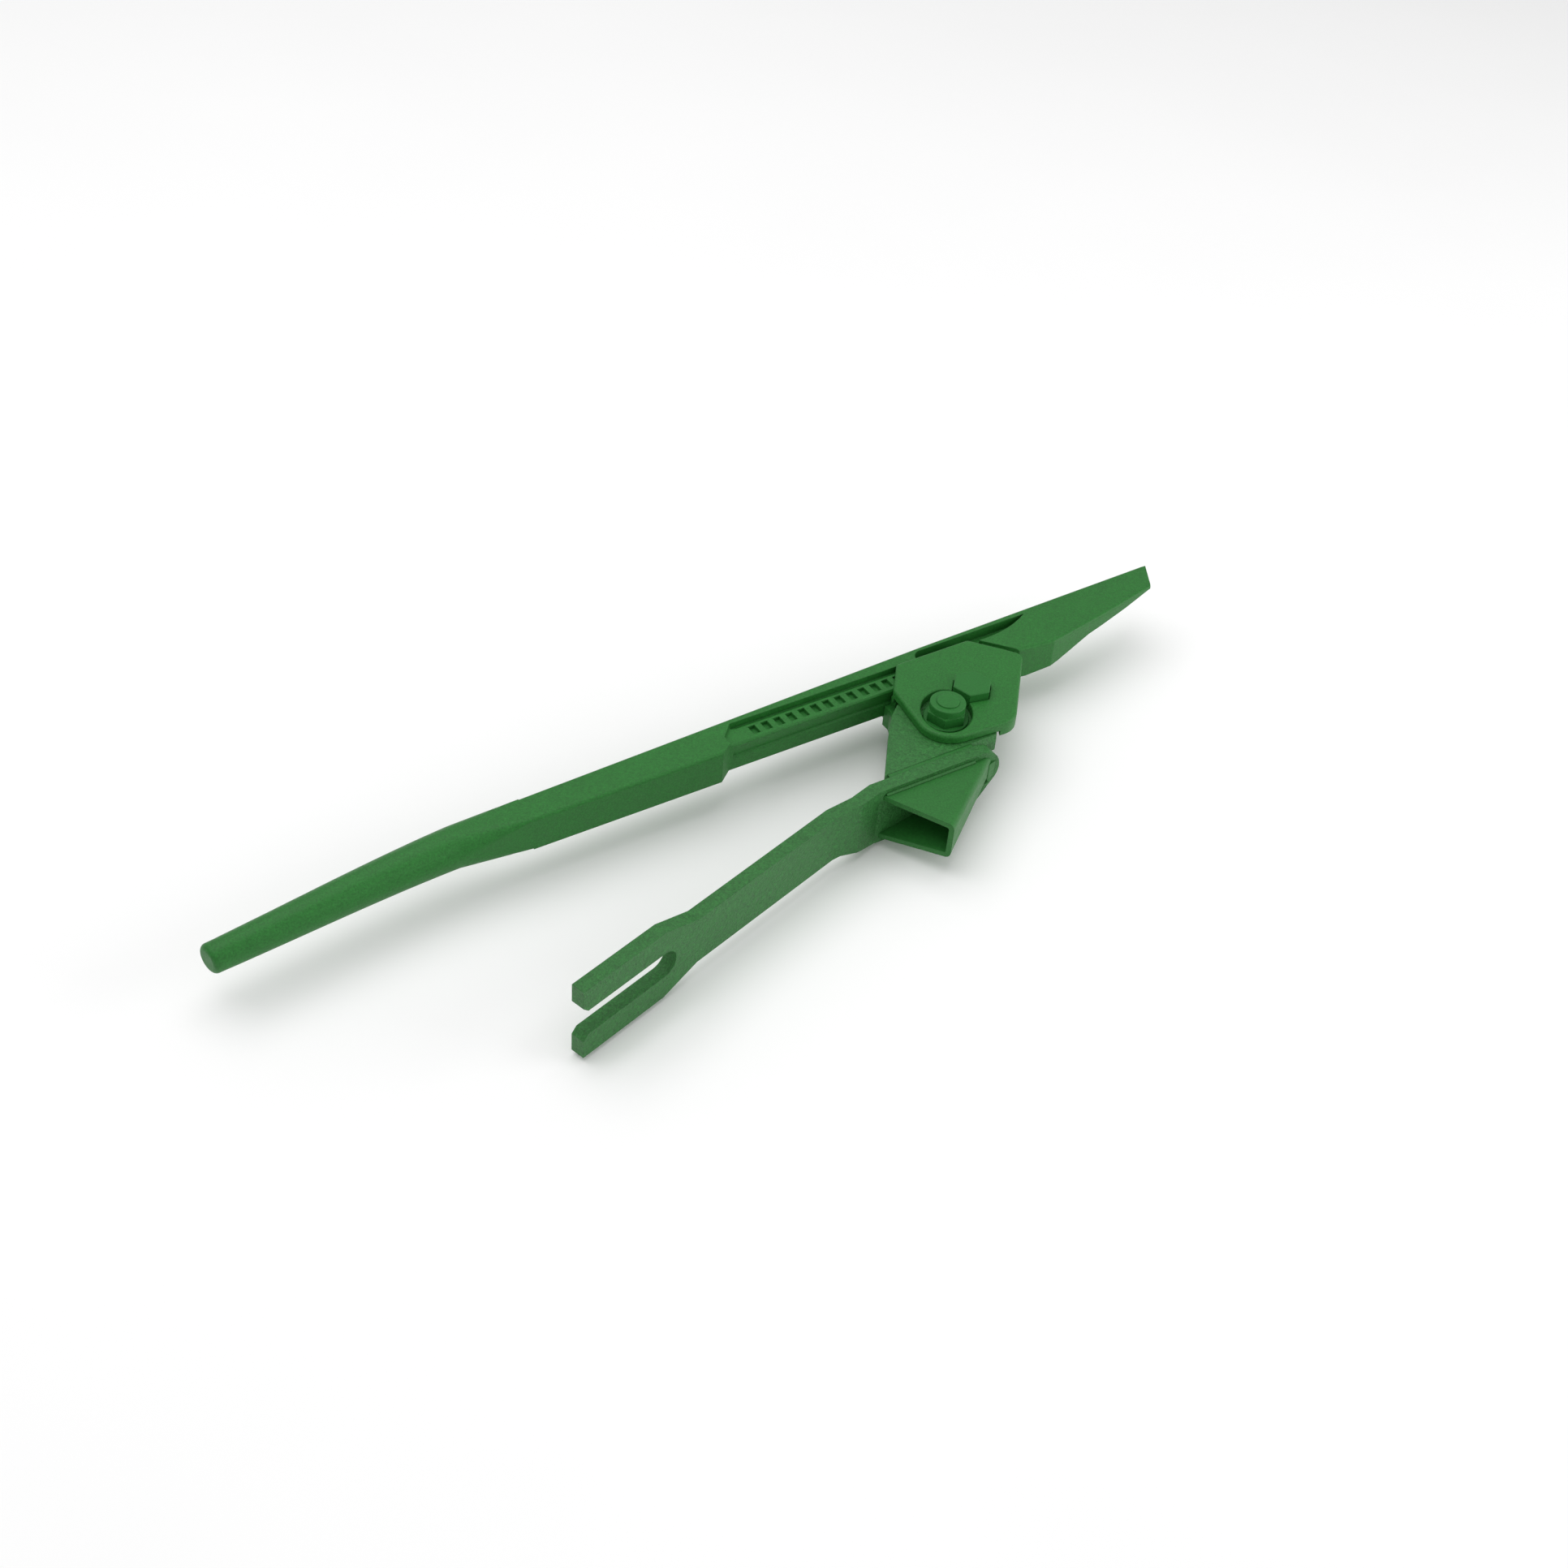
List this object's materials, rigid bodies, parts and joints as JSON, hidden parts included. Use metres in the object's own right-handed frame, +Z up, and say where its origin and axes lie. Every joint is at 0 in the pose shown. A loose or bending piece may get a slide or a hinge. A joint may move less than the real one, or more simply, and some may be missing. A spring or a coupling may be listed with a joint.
{
  "type": "crop lifter",
  "caption": "Adjustable crop lifter: forged toothed arm with round handle and blade tip, slid and clamped by a hexagon bolt, swinging on a carrier with slotted fork and guard socket.",
  "frame": {"origin": "under the middle of the whole lifter as it lies on a bench, on the plane of its lowest faces; the pivot axis stands at X 102.9 mm, Y 14.82 mm", "axes": "+X along the arm and its rack to the blade tip, +Y from the fork strip towards the arm, +Z up along the pivot bolt to the cover side"},
  "size_m": [0.5732, 0.1466, 0.0488],
  "materials": {
    "forged_green": "satin green paint on a shot-blasted forging, fine grain",
    "fastener_green": "satin green paint on machined fasteners",
    "plate_green": "satin green paint on rough, mottled rolled plate",
    "sheet_green": "satin green paint on bent sheet",
    "weld_green": "satin green paint over weld beads",
    "bare_steel": "oiled bare steel, hidden",
    "nylon": "hidden nylon locking ring"
  },
  "bodies": {
    "carrier": {"neck_plate": "plate_green", "fork_strip": "plate_green", "socket_shell": "sheet_green", "neck_weld_upper": "weld_green", "neck_weld_lower": "weld_green", "socket_weld_upper": "weld_green", "socket_weld_lower": "weld_green", "socket_weld_tip": "weld_green", "pivot_bolt": "fastener_green", "pivot_bush": "bare_steel", "pivot_head_washer": "fastener_green", "pivot_washer": "fastener_green", "pivot_nut": "fastener_green", "pivot_nut_insert": "nylon"},
    "clamp": {"clamp_base": "forged_green", "clamp_cover": "forged_green", "clamp_bolt": "fastener_green", "clamp_washer": "fastener_green", "clamp_spring_washer": "fastener_green"},
    "arm": {"lifting_arm": "forged_green"},
    "key": {"rack_key": "bare_steel"},
    "nut": {"clamp_nut": "fastener_green"}
  },
  "joints": [
    {"name": "clamp_swing", "type": "hinge", "parent": "carrier", "child": "clamp", "pos_m": [0.1029, 0.01482, 0.03], "axis": [0, 0, 1], "range_deg": [-10, 10]},
    {"name": "arm_slide", "type": "slide", "parent": "clamp", "child": "arm", "axis": [1, 0, 0], "range_m": [0, 0.0825]},
    {"name": "key_drop", "type": "slide", "parent": "clamp", "child": "key", "axis": [0, 0, 1], "range_m": [-0.0017, 0]},
    {"name": "clamp_nut_turn", "type": "hinge", "parent": "clamp", "child": "nut", "pos_m": [0.1249, 0.02312, 0.006], "axis": [0, 0, 1], "range_deg": [-180, 180]}
  ]
}
